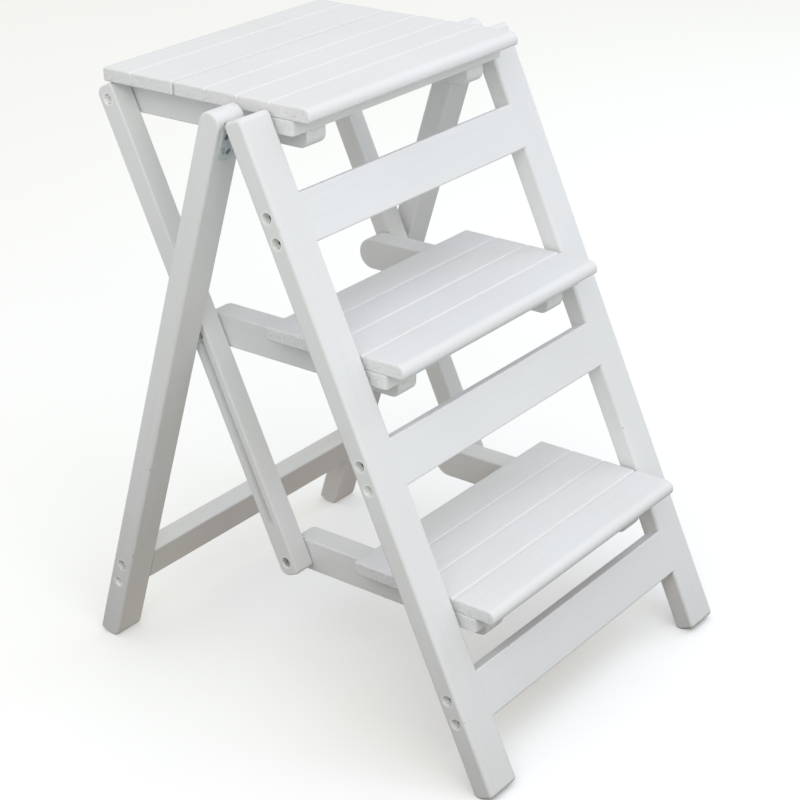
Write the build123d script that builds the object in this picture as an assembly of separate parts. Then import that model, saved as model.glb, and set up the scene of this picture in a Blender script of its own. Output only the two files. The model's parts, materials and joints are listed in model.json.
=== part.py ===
from build123d import *
import os
from math import asin, atan2, cos, degrees, hypot, radians, sin, sqrt

# A folding wooden step ladder with three steps. Millimetres, +Z up. The front faces -Y and the
# left side is -X. The origin is on the floor, in the middle of the ladder's footprint.

# Front frame: two stiles that lean back, with three rails between them
frame_width = 439.0             # outside to outside of the stiles
stile_lean = radians(23.8)      # back from upright
stile_width = 43.5              # across the ladder
stile_depth = 23.5              # front to back, square to the stile
stile_foot_front_radius = 4.0
stile_foot_rear_radius = 7.0
stile_top_front_radius = 6.0
stile_top_rear_radius = 5.0
stile_edge_radius = 3.5         # along the stile; its inner front edge is square at each rail
stile_top_drop = 4.3            # stile tops below the platform's surface
rail_height = 51.0
rail_thickness = 18.0
rail_below_pivot = {"bottom_rail": 82.4, "middle_rail": 90.6, "top_rail": 95.4}
rail_edge_radius = 2.0
foot_flat = 1.0                 # planed off each rounded foot where it meets the floor

# Rear frame: two legs that lean forward, with one crossbar between them
leg_lean = radians(18.6)        # forward from upright
leg_inset = 2.5                 # legs' outer faces in from the stiles' outer faces
leg_width = 38.5
leg_depth = 26.0
leg_foot_front_radius = 10.0
leg_foot_rear_radius = 4.0
leg_edge_radius = 2.5
leg_above_hinge = 6.5           # round leg top above the hinge axis
crossbar_height = 42.7
crossbar_thickness = 22.5
crossbar_edge_radius = 2.0
crossbar_up_leg = 98.0          # middle of the crossbar, up the leg from its foot

# Strap hinges at the stile tops
hinge_below_stile_top = 2.7
hinge_width = 25.5
hinge_leaf_length = 43.0        # from the hinge axis
hinge_leaf_thickness = 1.8
hinge_knuckle_radius = 3.8
hinge_middle_knuckle = 10.0
hinge_knuckle_gap = 0.2         # between knuckles, along the pin
hinge_knuckle_room = 0.3        # knuckles off the timbers' faces
hinge_pin_radius = 2.0
hinge_pin_head_radius = 2.7
hinge_pin_head_height = 0.6
hinge_corner_radius = 11.0
hinge_screw_places = ((15.5, -6.5), (15.5, 6.5), (33.5, 0.0))   # from the axis, and across
hinge_screw_length = 9.0
hinge_screw_radius = 1.8
hinge_screw_head_radius = 3.6

# Steps: heights of their top faces, and the boards
first_rise = 189.0
step_rise = 239.5
step_names = ("lower_step", "middle_step", "platform")
board_thickness = 15.0
board_overhang = 52.5           # front edge ahead of the step's pivot
board_depth = 179.0
board_end_gap = 3.5             # board ends to the stiles' inner faces
board_top_nose_radius = 9.0
board_bottom_nose_radius = 5.0
board_top_nose_share = 0.62     # most that each nose radius takes of the board's thickness
board_bottom_nose_share = 0.35
board_rear_radius = 2.2
board_end_radius = 2.0
groove_pitch = 42.8             # from the board's rear edge, then from groove to groove
groove_count = 3
groove_width = 3.0
groove_depth = 1.6
rear_board_depth = 97.5         # second board of the platform
rear_board_gap = 2.75
rear_board_groove = 40.0        # its one groove, from its rear edge

# Under each step: a batten across the front, and two bearers from front to back
batten_thickness = 16.0
batten_ahead = 30.0             # batten edges ahead of and behind the step's pivot
batten_behind = 15.0
batten_edge_radius = 1.5
batten_corner_radius = 4.0      # upright edges at its ends
bearer_width = 29.0
bearer_height = 36.5
bearer_ahead = 25.0             # front end ahead of the step's pivot
bearer_front_radius = 11.0
bearer_edge_radius = 2.0
link_pivot_behind = 221.5       # step's link pivot behind its stile pivot

# Link bars: one each side, joining the rear ends of the three steps
link_width = 26.0
link_height = 24.0
link_end_front_radius = 4.0
link_end_rear_radius = 10.0
link_end_room = 0.65            # bar's ends clear of the boards as they turn past
link_edge_radius = 2.0
link_stile_gap = 2.5            # bar's outer face to the stile's inner face
link_bearer_gap = 1.5           # bar's inner face to the bearer
guide_groove_width = 7.5
guide_groove_depth = 7.0
guide_groove_high_room = 2.0    # spare length at the groove's ends
guide_groove_low_room = 6.0
folded_step_angle = radians(6.5)   # left between steps and stiles when folded

# Pins, bolts and screws
running_gap = 0.05              # radial, pin or screw in its bore
pivot_pin_radius = 4.0
pivot_pin_in_batten = 20.0
pivot_pin_in_stile = 19.0
pivot_hole_end_gap = 0.5        # pin's outer end to the bottom of the stile's blind hole
guide_pin_radius = 3.4
guide_pin_floor_gap = 0.3
guide_pin_leg_gap = 0.5
pin_chamfer = 0.5
link_bolt_shoulder_radius = 4.0
link_bolt_thread_radius = 3.0
link_bolt_thread_length = 20.0
link_bolt_head_radius = 5.5
link_bolt_head_height = 3.5
link_bolt_head_gap = 0.3        # head to the floor of its counterbore
link_bolt_socket_across = 5.0   # hexagon socket, across its flats
link_bolt_socket_depth = 2.2
link_counterbore_radius = 6.0
link_counterbore_depth = 6.5    # at the bar's two ends
link_groove_counterbore_depth = 12.0    # between them, where the guide pin passes over the bolt
washer_radius = 9.0
washer_thickness = 1.2
frame_screw_radius = 2.25
frame_screw_length = 51.0       # from the head's seat
frame_screw_head_radius = 4.0
frame_screw_head_height = 3.0
frame_screw_seat = 9.0          # depth of the head's seat
frame_screw_counterbore_radius = 6.0
rail_screw_pitch = 26.0
crossbar_screw_pitch = 25.5
crossbar_screw_drop = 4.0       # screws below the crossbar's middle
crossbar_screw_depth = 13.0     # behind the leg's front face
board_screw_radius = 2.0
board_screw_length = 34.0
board_screw_bite = 10.0         # length of the tip in the board
board_screw_head_radius = 3.6
board_screw_head_height = 2.6
board_screw_counterbore_radius = 4.5
board_screw_end_room = 32.0     # screws from the board's rear edge and from the batten
rear_board_screw_pitch = 50.0
screw_recess_width = 1.1
screw_recess_depth = 1.4
screw_tip_length = 3.0

# Places across the ladder
stile_outer = frame_width / 2
stile_inner = stile_outer - stile_width
board_half = stile_inner - board_end_gap
link_outer = stile_inner - link_stile_gap
link_inner = link_outer - link_width
bearer_outer = link_inner - link_bearer_gap
bearer_inner = bearer_outer - bearer_width
leg_outer = stile_outer - leg_inset
leg_inner = leg_outer - leg_width
hinge_middle = (max(stile_inner, leg_inner) + leg_outer) / 2

# Heights, and the stile's length and its foot, which rests on the arc of its rear corner
platform_height = first_rise + 2 * step_rise
stile_foot_z = (
    (stile_depth - stile_foot_rear_radius) * sin(stile_lean)
    + stile_foot_rear_radius * (1 - cos(stile_lean))
    - foot_flat
)
stile_length = (platform_height - stile_top_drop - stile_foot_z) / cos(stile_lean)

# Hinge axis and the rear leg's foot, both measured behind the stile's foot
hinge_up_stile = stile_length - hinge_below_stile_top
hinge_axis_height = hinge_knuckle_radius + hinge_knuckle_room
hinge_depth = stile_depth + hinge_axis_height
hinge_behind_foot = hinge_up_stile * sin(stile_lean) + hinge_depth * cos(stile_lean)
hinge_z = stile_foot_z + hinge_up_stile * cos(stile_lean) - hinge_depth * sin(stile_lean)
leg_foot_z = leg_foot_front_radius * (1 - cos(leg_lean) - sin(leg_lean)) - foot_flat
leg_behind_foot = hinge_behind_foot + (
    (hinge_axis_height + (hinge_z - leg_foot_z) * sin(leg_lean)) / cos(leg_lean)
)
hinge_up_leg = (
    (leg_behind_foot - hinge_behind_foot) * sin(leg_lean)
    + (hinge_z - leg_foot_z) * cos(leg_lean)
)
leg_length = hinge_up_leg + leg_above_hinge

# The footprint's middle is y = 0
footprint_front = stile_foot_front_radius * (sin(stile_lean) + cos(stile_lean) - 1)
footprint_back = (
    leg_behind_foot
    + leg_depth * cos(leg_lean)
    - leg_foot_rear_radius * (sin(leg_lean) + cos(leg_lean) - 1)
)
stile_foot_y = -(footprint_front + footprint_back) / 2
leg_foot_y = stile_foot_y + leg_behind_foot
hinge_axis = (stile_foot_y + hinge_behind_foot, hinge_z)


# A place (y, z) from a distance up the stile and a depth behind its front face
def on_stile(up, depth):
    y = stile_foot_y + up * sin(stile_lean) + depth * cos(stile_lean)
    z = stile_foot_z + up * cos(stile_lean) - depth * sin(stile_lean)
    return y, z


# The same place as (up, depth) of the stile
def along_stile(place):
    y = place[0] - stile_foot_y
    z = place[1] - stile_foot_z
    up = y * sin(stile_lean) + z * cos(stile_lean)
    depth = y * cos(stile_lean) - z * sin(stile_lean)
    return up, depth


# A place (y, z) from a distance up the leg and a depth behind its front face
def on_leg(up, depth):
    y = leg_foot_y - up * sin(leg_lean) + depth * cos(leg_lean)
    z = leg_foot_z + up * cos(leg_lean) + depth * sin(leg_lean)
    return y, z


# Each step turns about a pin at mid-depth of the stile and at the batten's middle
def step_pivot(number):
    z = first_rise + number * step_rise - board_thickness - batten_thickness / 2
    up = (z - stile_foot_z + stile_depth / 2 * sin(stile_lean)) / cos(stile_lean)
    return on_stile(up, stile_depth / 2)


# The link pivot is in the middle of the bearer's height. The link bar runs on past its outer
# pivots until its front corners would only just swing by under the boards.
link_pivot_drop = bearer_height / 2 - batten_thickness / 2
link_end_swing = bearer_height / 2 - link_end_room
link_end_reach = link_end_front_radius + sqrt(
    (link_end_swing - link_end_front_radius) ** 2 - (link_height / 2 - link_end_front_radius) ** 2
)


def link_pivot(number):
    y, z = step_pivot(number)
    return y + link_pivot_behind, z - link_pivot_drop


# Fold: the steps, stiles and link bars are a parallelogram, and the guide pin of each leg slides in
# the groove of its link bar. Here is the pin's place on the bar, from the bar's lowest pivot, with
# the ladder open and folded, and how far each joint turns.
link_arm = hypot(link_pivot_behind, link_pivot_drop)
link_arm_droop = atan2(link_pivot_drop, link_pivot_behind)
frame_spread = stile_lean + leg_lean
fold_turn = radians(90) - stile_lean - folded_step_angle

link_depth_open = along_stile(link_pivot(0))[1]
leg_middle_depth = along_stile(on_leg(0, leg_depth / 2))[1]
guide_pin_up_leg = (leg_middle_depth - link_depth_open) / sin(frame_spread)
guide_pin_place = on_leg(guide_pin_up_leg, leg_depth / 2)
guide_pin_open = along_stile(guide_pin_place)[0] - along_stile(link_pivot(0))[0]

guide_pin_arm = hypot(guide_pin_place[0] - hinge_axis[0], guide_pin_place[1] - hinge_axis[1])
guide_pin_offset = asin((leg_depth / 2 + hinge_axis_height) / guide_pin_arm)
link_angle_folded = folded_step_angle + link_arm_droop
link_depth_folded = stile_depth / 2 + link_arm * sin(link_angle_folded)
leg_angle_folded = asin((link_depth_folded - hinge_depth) / guide_pin_arm)
leg_turn = frame_spread - (leg_angle_folded - guide_pin_offset)
guide_pin_folded = (
    hinge_up_stile
    - guide_pin_arm * cos(leg_angle_folded)
    - along_stile(step_pivot(0))[0]
    - link_arm * cos(link_angle_folded)
)


from_base = (Align.CENTER, Align.CENTER, Align.MIN)


# Drawing planes. Timbers: x runs up the timber, y to the back, and an extrusion goes to -X.
# Steps: x runs to the back, y up, and an extrusion goes to +X.
def stile_plane(x):
    y, z = on_stile(0, 0)
    return Plane(origin=(x, y, z), x_dir=(0, sin(stile_lean), cos(stile_lean)), z_dir=(-1, 0, 0))


def leg_plane(x):
    y, z = on_leg(0, 0)
    return Plane(origin=(x, y, z), x_dir=(0, -sin(leg_lean), cos(leg_lean)), z_dir=(-1, 0, 0))


def step_plane(number, x):
    y, z = step_pivot(number)
    return Plane(origin=(x, y, z), x_dir=(0, 1, 0), z_dir=(1, 0, 0))


# A rectangle from corner to corner, with its corners rounded. The radii go round from the low
# corner: low x and y, low x and high y, high x and y, high x and low y.
def rounded_rectangle(low, high, radii):
    outline = Pos(*low) * Rectangle(high[0] - low[0], high[1] - low[1], align=Align.MIN)
    corners = (low, (low[0], high[1]), high, (high[0], low[1]))
    for corner, radius in zip(corners, radii):
        if radius > 0:
            vertex = outline.vertices().sort_by_distance((corner[0], corner[1], 0))[0]
            outline = fillet(vertex, radius)
    return outline


# A round rod along X between two places across the ladder, about a point (y, z)
def rod(x_from, x_to, radius, centre):
    plane = Plane(origin=(min(x_from, x_to), *centre), x_dir=(0, 1, 0), z_dir=(1, 0, 0))
    return extrude(plane * Circle(radius), abs(x_to - x_from))


# Rounds the two outlines of a timber that lie square to X
def round_sides(timber, radius):
    sides = timber.faces().filter_by(Axis.X)
    outlines = sides.sort_by(Axis.X)[0].edges() + sides.sort_by(Axis.X)[-1].edges()
    return fillet(outlines, radius)


# Takes away all that lies under the floor
def level_foot(timber):
    reach = 2 * platform_height
    return timber - Pos(0, 0, -reach / 2) * Box(reach, reach, reach)


def other_side(piece):
    return mirror(piece, about=Plane.YZ)


# Cross-head screw, along +Z from the head's seat
def pan_screw(length, radius, head_radius, head_height):
    head = Pos(0, 0, -head_height) * Cylinder(head_radius, head_height, align=from_base)
    rim = head.edges().filter_by(GeomType.CIRCLE).sort_by(Axis.Z)[0]
    head = fillet(rim, head_height / 3)
    shank = Cylinder(radius, length - screw_tip_length, align=from_base)
    tip = Pos(0, 0, length - screw_tip_length) * Cone(
        radius, radius / 5, screw_tip_length, align=from_base
    )
    return head + shank + tip - cross_recess(head_radius, -head_height)


# Cross-head screw with a flat top, along +Z from the surface it is sunk in
def sunk_screw(length, radius, head_radius):
    cone_height = head_radius - radius
    head = Cone(head_radius, radius, cone_height, align=from_base)
    shank = Pos(0, 0, cone_height) * Cylinder(
        radius, length - cone_height - screw_tip_length, align=from_base
    )
    tip = Pos(0, 0, length - screw_tip_length) * Cone(
        radius, radius / 5, screw_tip_length, align=from_base
    )
    return head + shank + tip - cross_recess(head_radius, 0)


def cross_recess(head_radius, height):
    arm = Pos(0, 0, height) * Box(
        1.3 * head_radius, screw_recess_width, screw_recess_depth, align=from_base
    )
    return arm + Rot(0, 0, 90) * arm


# Where the frame screws go through a timber: plane at the outer face, along +X, for the left side
def frame_screw_planes(places, outer):
    return [Plane(origin=(-outer, *place), z_dir=(1, 0, 0)) for place in places]


def frame_screw_hole():
    deep = frame_screw_seat + frame_screw_length
    counterbore = Cylinder(frame_screw_counterbore_radius, frame_screw_seat, align=from_base)
    return counterbore + Cylinder(frame_screw_radius + running_gap, deep, align=from_base)


def frame_screw():
    return Pos(0, 0, frame_screw_seat) * pan_screw(
        frame_screw_length, frame_screw_radius, frame_screw_head_radius, frame_screw_head_height
    )


def rail_middle(name):
    number = ("bottom_rail", "middle_rail", "top_rail").index(name)
    return along_stile(step_pivot(number))[0] - rail_below_pivot[name]


def rail_screw_planes(name):
    ups = [rail_middle(name) + half * rail_screw_pitch for half in (-0.5, 0.5)]
    places = [on_stile(up, stile_depth / 2) for up in ups]
    return frame_screw_planes(places, stile_outer)


def crossbar_screw_planes():
    middle = crossbar_up_leg - crossbar_screw_drop
    ups = [middle + half * crossbar_screw_pitch for half in (-0.5, 0.5)]
    places = [on_leg(up, crossbar_screw_depth) for up in ups]
    return frame_screw_planes(places, leg_outer)


def rail_outline(name):
    middle = rail_middle(name)
    return rounded_rectangle(
        (middle - rail_height / 2, 0),
        (middle + rail_height / 2, rail_thickness),
        (rail_edge_radius,) * 4,
    )


# Left stile, with blind holes for the step pins and holes for the rail and hinge screws
def make_stile():
    outline = rounded_rectangle(
        (0, 0),
        (stile_length, stile_depth),
        (
            stile_foot_front_radius,
            stile_foot_rear_radius,
            stile_top_rear_radius,
            stile_top_front_radius,
        ),
    )
    timber = extrude(stile_plane(-stile_inner) * outline, stile_width)
    timber = level_foot(round_sides(timber, stile_edge_radius))
    for name in rail_below_pivot:
        timber += extrude(stile_plane(-stile_inner) * rail_outline(name), stile_edge_radius)
    for number in range(len(step_names)):
        deep = pivot_pin_in_stile + pivot_hole_end_gap
        centre = step_pivot(number)
        timber -= rod(-stile_inner, -stile_inner - deep, pivot_pin_radius + running_gap, centre)
    for name in rail_below_pivot:
        for plane in rail_screw_planes(name):
            timber -= plane * frame_screw_hole()
    for plane in stile_hinge_screw_planes():
        timber -= plane * Cylinder(
            hinge_screw_radius + running_gap, hinge_screw_length, align=from_base
        )
    return timber


def make_rail(name):
    rail = extrude(stile_plane(stile_inner) * rail_outline(name), 2 * stile_inner)
    for plane in rail_screw_planes(name):
        hole = plane * frame_screw_hole()
        rail = rail - hole - other_side(hole)
    return rail


# Left rear leg, round at the top, with holes for the crossbar and hinge screws
def make_leg():
    top_radius = leg_depth / 2
    outline = rounded_rectangle(
        (0, 0),
        (leg_length - top_radius, leg_depth),
        (leg_foot_front_radius, leg_foot_rear_radius, 0, 0),
    )
    outline += Pos(leg_length - top_radius, top_radius) * Circle(top_radius)
    timber = extrude(leg_plane(-leg_inner) * outline, leg_width)
    timber = level_foot(round_sides(timber, leg_edge_radius))
    for plane in crossbar_screw_planes():
        timber -= plane * frame_screw_hole()
    for plane in leg_hinge_screw_planes():
        timber -= plane * Cylinder(
            hinge_screw_radius + running_gap, hinge_screw_length, align=from_base
        )
    return timber


def make_crossbar():
    outline = rounded_rectangle(
        (crossbar_up_leg - crossbar_height / 2, 0),
        (crossbar_up_leg + crossbar_height / 2, crossbar_thickness),
        (crossbar_edge_radius,) * 4,
    )
    bar = extrude(leg_plane(leg_inner) * outline, 2 * leg_inner)
    for plane in crossbar_screw_planes():
        hole = plane * frame_screw_hole()
        bar = bar - hole - other_side(hole)
    return bar


# Hinge screws: planes on the outer face of the left leaves, along the screws
def stile_hinge_screw_planes():
    planes = []
    for down, across in hinge_screw_places:
        y, z = on_stile(hinge_up_stile - down, stile_depth + hinge_leaf_thickness)
        into_stile = (0, -cos(stile_lean), sin(stile_lean))
        planes.append(Plane(origin=(-hinge_middle + across, y, z), z_dir=into_stile))
    return planes


def leg_hinge_screw_planes():
    planes = []
    for down, across in hinge_screw_places:
        y, z = on_leg(hinge_up_leg - down, -hinge_leaf_thickness)
        into_leg = (0, cos(leg_lean), sin(leg_lean))
        planes.append(Plane(origin=(-hinge_middle - across, y, z), z_dir=into_leg))
    return planes


# Left hinge leaf: a plate on one timber's face, and this leaf's share of the knuckles. Spans are
# places across the leaf, from its middle.
def make_hinge_leaf(plane_at, up, near, far, knuckle_spans, screw_planes):
    plate_top = up - hinge_knuckle_radius - hinge_knuckle_gap
    plate_low = up - hinge_leaf_length
    half = hinge_width / 2
    leaf = extrude(
        plane_at(-hinge_middle + half)
        * rounded_rectangle((plate_low, near), (plate_top, far), (0,) * 4),
        hinge_width,
    )
    corners = leaf.edges().filter_by(lambda edge: abs(edge.length - hinge_leaf_thickness) < 0.01)
    corners = corners.sort_by(Axis.Z)[:2]
    leaf = fillet(corners, hinge_corner_radius)
    for low, high in knuckle_spans:
        tongue = rounded_rectangle((plate_top, near), (up, far), (0,) * 4)
        leaf += extrude(plane_at(-hinge_middle + high) * tongue, high - low)
        leaf += rod(-hinge_middle + low, -hinge_middle + high, hinge_knuckle_radius, hinge_axis)
    leaf -= rod(
        -hinge_middle - half, -hinge_middle + half, hinge_pin_radius + running_gap, hinge_axis
    )
    for plane in screw_planes:
        sink = Cone(
            hinge_screw_head_radius + running_gap,
            hinge_screw_radius + running_gap,
            hinge_screw_head_radius - hinge_screw_radius,
            align=from_base,
        )
        leaf -= plane * sink
        leaf -= plane * Cylinder(
            hinge_screw_radius + running_gap, 2 * hinge_leaf_thickness, align=from_base
        )
    return leaf


def make_stile_hinge_leaf():
    half = hinge_width / 2
    inner = hinge_middle_knuckle / 2 + hinge_knuckle_gap
    spans = ((-half, -inner), (inner, half))
    far = stile_depth + hinge_leaf_thickness
    planes = stile_hinge_screw_planes()
    return make_hinge_leaf(stile_plane, hinge_up_stile, stile_depth, far, spans, planes)


def make_leg_hinge_leaf():
    spans = ((-hinge_middle_knuckle / 2, hinge_middle_knuckle / 2),)
    planes = leg_hinge_screw_planes()
    return make_hinge_leaf(leg_plane, hinge_up_leg, -hinge_leaf_thickness, 0, spans, planes)


def make_hinge_pin():
    half = hinge_width / 2
    middle = -hinge_middle
    pin = rod(middle - half, middle + half, hinge_pin_radius, hinge_axis)
    for side in (-1, 1):
        end = middle + side * half
        head = rod(end, end + side * hinge_pin_head_height, hinge_pin_head_radius, hinge_axis)
        pin += head
    return pin


# Board across the ladder, from one place behind the step's pivot to another, with grooves in its
# top face and round ends to its front edge when it is the nose of the step
def make_board(number, front, back, nose_radii, grooves):
    low = batten_thickness / 2
    high = low + board_thickness
    top_nose, bottom_nose = nose_radii
    outline = rounded_rectangle(
        (front, low),
        (back, high),
        (bottom_nose, top_nose, board_rear_radius, board_rear_radius),
    )
    board = extrude(step_plane(number, -board_half) * outline, 2 * board_half)
    board = round_sides(board, board_end_radius)
    half = groove_width / 2
    for place in grooves:
        valley = Polygon(
            (place - half, high), (place + half, high), (place, high - groove_depth), align=None
        )
        board -= extrude(step_plane(number, -board_half) * valley, 2 * board_half)
    return board


def make_front_board(number):
    back = board_depth - board_overhang
    grooves = [back - groove_pitch * (index + 1) for index in range(groove_count)]
    nose = (
        min(board_top_nose_radius, board_top_nose_share * board_thickness),
        min(board_bottom_nose_radius, board_bottom_nose_share * board_thickness),
    )
    board = make_board(number, -board_overhang, back, nose, grooves)
    return drill_board_screws(board, front_board_screw_planes(number))


rear_board_front = board_depth - board_overhang + rear_board_gap


def make_rear_board(number):
    back = rear_board_front + rear_board_depth
    edges = (board_rear_radius, board_rear_radius)
    board = make_board(number, rear_board_front, back, edges, [back - rear_board_groove])
    return drill_board_screws(board, rear_board_screw_planes(number))


# Board screws come up through the bearers. Each plane is at the bearer's underside, along +Z.
def board_screw_planes(number, places):
    y, z = step_pivot(number)
    underside = z + batten_thickness / 2 - bearer_height
    middle = (bearer_inner + bearer_outer) / 2
    return [
        Plane(origin=(side * middle, y + place, underside), z_dir=(0, 0, 1))
        for place in places
        for side in (-1, 1)
    ]


def front_board_screw_planes(number):
    back = board_depth - board_overhang
    return board_screw_planes(
        number, (batten_behind + board_screw_end_room, back - board_screw_end_room)
    )


def rear_board_screw_planes(number):
    middle = rear_board_front + rear_board_depth / 2
    half = rear_board_screw_pitch / 2
    return board_screw_planes(number, (middle - half, middle + half))


def step_screw_planes(number):
    planes = front_board_screw_planes(number)
    if step_names[number] == "platform":
        planes += rear_board_screw_planes(number)
    return planes


board_screw_seat = bearer_height + board_screw_bite - board_screw_length


def drill_board_screws(piece, planes):
    reach = board_screw_seat + board_screw_length
    hole = Cylinder(board_screw_radius + running_gap, reach, align=from_base)
    hole += Cylinder(board_screw_counterbore_radius, board_screw_seat, align=from_base)
    for plane in planes:
        piece -= plane * hole
    return piece


def make_board_screws(number):
    screw = Pos(0, 0, board_screw_seat) * pan_screw(
        board_screw_length, board_screw_radius, board_screw_head_radius, board_screw_head_height
    )
    return [plane * screw for plane in step_screw_planes(number)]


# Batten under the front of the step, with a pivot pin in each end
def make_batten(number):
    half = batten_thickness / 2
    outline = rounded_rectangle((-batten_ahead, -half), (batten_behind, half), (0,) * 4)
    batten = extrude(step_plane(number, -board_half) * outline, 2 * board_half)
    batten = fillet(batten.edges().filter_by(Axis.Z), batten_corner_radius)
    level_faces = batten.faces().filter_by(Axis.Z)
    batten = fillet(level_faces[0].edges() + level_faces[1].edges(), batten_edge_radius)
    centre = step_pivot(number)
    hole = rod(
        -board_half, -board_half + pivot_pin_in_batten, pivot_pin_radius + running_gap, centre
    )
    return batten - hole - other_side(hole)


def make_pivot_pin(number):
    inner = board_half - pivot_pin_in_batten
    outer = stile_inner + pivot_pin_in_stile
    pin = rod(-inner, -outer, pivot_pin_radius, step_pivot(number))
    return chamfer(pin.edges().filter_by(GeomType.CIRCLE), pin_chamfer)


# Left bearer: round about the link pivot at the back, and notched at the front for the batten
def make_bearer(number):
    top = batten_thickness / 2
    radius = bearer_height / 2
    outline = rounded_rectangle(
        (-bearer_ahead, top - bearer_height),
        (link_pivot_behind, top),
        (bearer_front_radius, 0, 0, 0),
    )
    outline += Pos(link_pivot_behind, top - radius) * Circle(radius)
    bearer = extrude(step_plane(number, -bearer_outer) * outline, bearer_width)
    bearer = round_sides(bearer, bearer_edge_radius)
    notch = Pos(-batten_ahead, -top) * Rectangle(
        batten_ahead + batten_behind, 2 * batten_thickness, align=Align.MIN
    )
    bearer -= extrude(step_plane(number, -bearer_outer) * notch, bearer_width)
    bearer -= rod(
        -bearer_outer,
        -bearer_outer + link_bolt_thread_length,
        link_bolt_thread_radius + running_gap,
        link_pivot(number),
    )
    left_planes = [plane for plane in step_screw_planes(number) if plane.origin.X < 0]
    return drill_board_screws(bearer, left_planes)


# Floor of a bolt's counterbore in the left link bar
def link_bolt_seat(number):
    at_end = number in (0, len(step_names) - 1)
    return link_outer - (link_counterbore_depth if at_end else link_groove_counterbore_depth)


# Left link bar, with its middle line through the three link pivots
def make_link_bar():
    lowest = along_stile(link_pivot(0))
    highest = along_stile(link_pivot(len(step_names) - 1))
    front, rear = link_end_front_radius, link_end_rear_radius
    outline = rounded_rectangle(
        (lowest[0] - link_end_reach, lowest[1] - link_height / 2),
        (highest[0] + link_end_reach, lowest[1] + link_height / 2),
        (front, rear, rear, front),
    )
    bar = extrude(stile_plane(-link_inner) * outline, link_width)
    bar = round_sides(bar, link_edge_radius)
    low_end = lowest[0] + guide_pin_folded - guide_groove_low_room
    high_end = lowest[0] + guide_pin_open + guide_groove_high_room
    groove = Pos((low_end + high_end) / 2, lowest[1]) * SlotCenterToCenter(
        high_end - low_end, guide_groove_width
    )
    groove_floor = link_outer - guide_groove_depth
    bar -= extrude(stile_plane(-groove_floor) * groove, guide_groove_depth)
    for number in range(len(step_names)):
        centre = link_pivot(number)
        seat = link_bolt_seat(number)
        bar -= rod(-link_inner, -link_outer, link_bolt_shoulder_radius + running_gap, centre)
        bar -= rod(-seat, -link_outer, link_counterbore_radius, centre)
    return bar


# Left shoulder bolt: its shoulder is the pivot of the link bar and its thread holds in the bearer
def make_link_bolt(number):
    centre = link_pivot(number)
    seat = link_bolt_seat(number) + link_bolt_head_gap
    crown = seat + link_bolt_head_height
    bolt = rod(-bearer_outer, -seat, link_bolt_shoulder_radius, centre)
    bolt += rod(
        -bearer_outer, -bearer_outer + link_bolt_thread_length, link_bolt_thread_radius, centre
    )
    head = rod(-seat, -crown, link_bolt_head_radius, centre)
    head = fillet(head.edges().filter_by(GeomType.CIRCLE).sort_by(Axis.X)[0], pin_chamfer)
    socket_plane = Plane(origin=(-crown, *centre), x_dir=(0, 1, 0), z_dir=(1, 0, 0))
    socket = extrude(
        socket_plane * RegularPolygon(link_bolt_socket_across / 2, 6, major_radius=False),
        link_bolt_socket_depth,
    )
    return bolt + head - socket


def make_link_washer(number):
    centre = link_pivot(number)
    outer = bearer_outer + washer_thickness
    washer = rod(-bearer_outer, -outer, washer_radius, centre)
    return washer - rod(-bearer_outer, -outer, link_bolt_shoulder_radius + running_gap, centre)


# Left guide pin, from the floor of the bar's groove almost to the leg
def make_guide_pin():
    inner = link_outer - guide_groove_depth + guide_pin_floor_gap
    outer = leg_inner - guide_pin_leg_gap
    pin = rod(-inner, -outer, guide_pin_radius, guide_pin_place)
    return chamfer(pin.edges().filter_by(GeomType.CIRCLE), pin_chamfer)


def both_sides(piece):
    return [piece, other_side(piece)]


def add_pair(nodes, left_name, right_name, piece):
    nodes[left_name] = [piece]
    nodes[right_name] = [other_side(piece)]


def front_frame_nodes(nodes):
    add_pair(nodes, "left_stile", "right_stile", make_stile())
    rail_screws = []
    for name in rail_below_pivot:
        nodes[name] = [make_rail(name)]
        for plane in rail_screw_planes(name):
            rail_screws += both_sides(plane * frame_screw())
    nodes["rail_screws"] = rail_screws
    add_pair(nodes, "left_front_hinge_leaf", "right_front_hinge_leaf", make_stile_hinge_leaf())
    nodes["front_hinge_screws"] = hinge_screws(stile_hinge_screw_planes())
    nodes["hinge_pins"] = both_sides(make_hinge_pin())


def rear_frame_nodes(nodes):
    add_pair(nodes, "left_rear_leg", "right_rear_leg", make_leg())
    nodes["rear_crossbar"] = [make_crossbar()]
    crossbar_screws = []
    for plane in crossbar_screw_planes():
        crossbar_screws += both_sides(plane * frame_screw())
    nodes["crossbar_screws"] = crossbar_screws
    add_pair(nodes, "left_rear_hinge_leaf", "right_rear_hinge_leaf", make_leg_hinge_leaf())
    nodes["rear_hinge_screws"] = hinge_screws(leg_hinge_screw_planes())


def hinge_screws(planes):
    screw = sunk_screw(hinge_screw_length, hinge_screw_radius, hinge_screw_head_radius)
    screws = []
    for plane in planes:
        screws += both_sides(plane * screw)
    return screws


def step_nodes(nodes, number):
    name = step_names[number]
    if name == "platform":
        nodes["platform_front_board"] = [make_front_board(number)]
        nodes["platform_rear_board"] = [make_rear_board(number)]
    else:
        nodes[f"{name}_board"] = [make_front_board(number)]
    add_pair(nodes, f"{name}_left_bearer", f"{name}_right_bearer", make_bearer(number))
    nodes[f"{name}_batten"] = [make_batten(number)]
    nodes[f"{name}_board_screws"] = make_board_screws(number)
    nodes[f"{name}_pivot_pins"] = both_sides(make_pivot_pin(number))
    nodes[f"{name}_link_bolts"] = both_sides(make_link_bolt(number))
    nodes[f"{name}_link_washers"] = both_sides(make_link_washer(number))


def link_nodes(nodes):
    add_pair(nodes, "left_link_bar", "right_link_bar", make_link_bar())
    add_pair(nodes, "left_guide_pin", "right_guide_pin", make_guide_pin())


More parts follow.
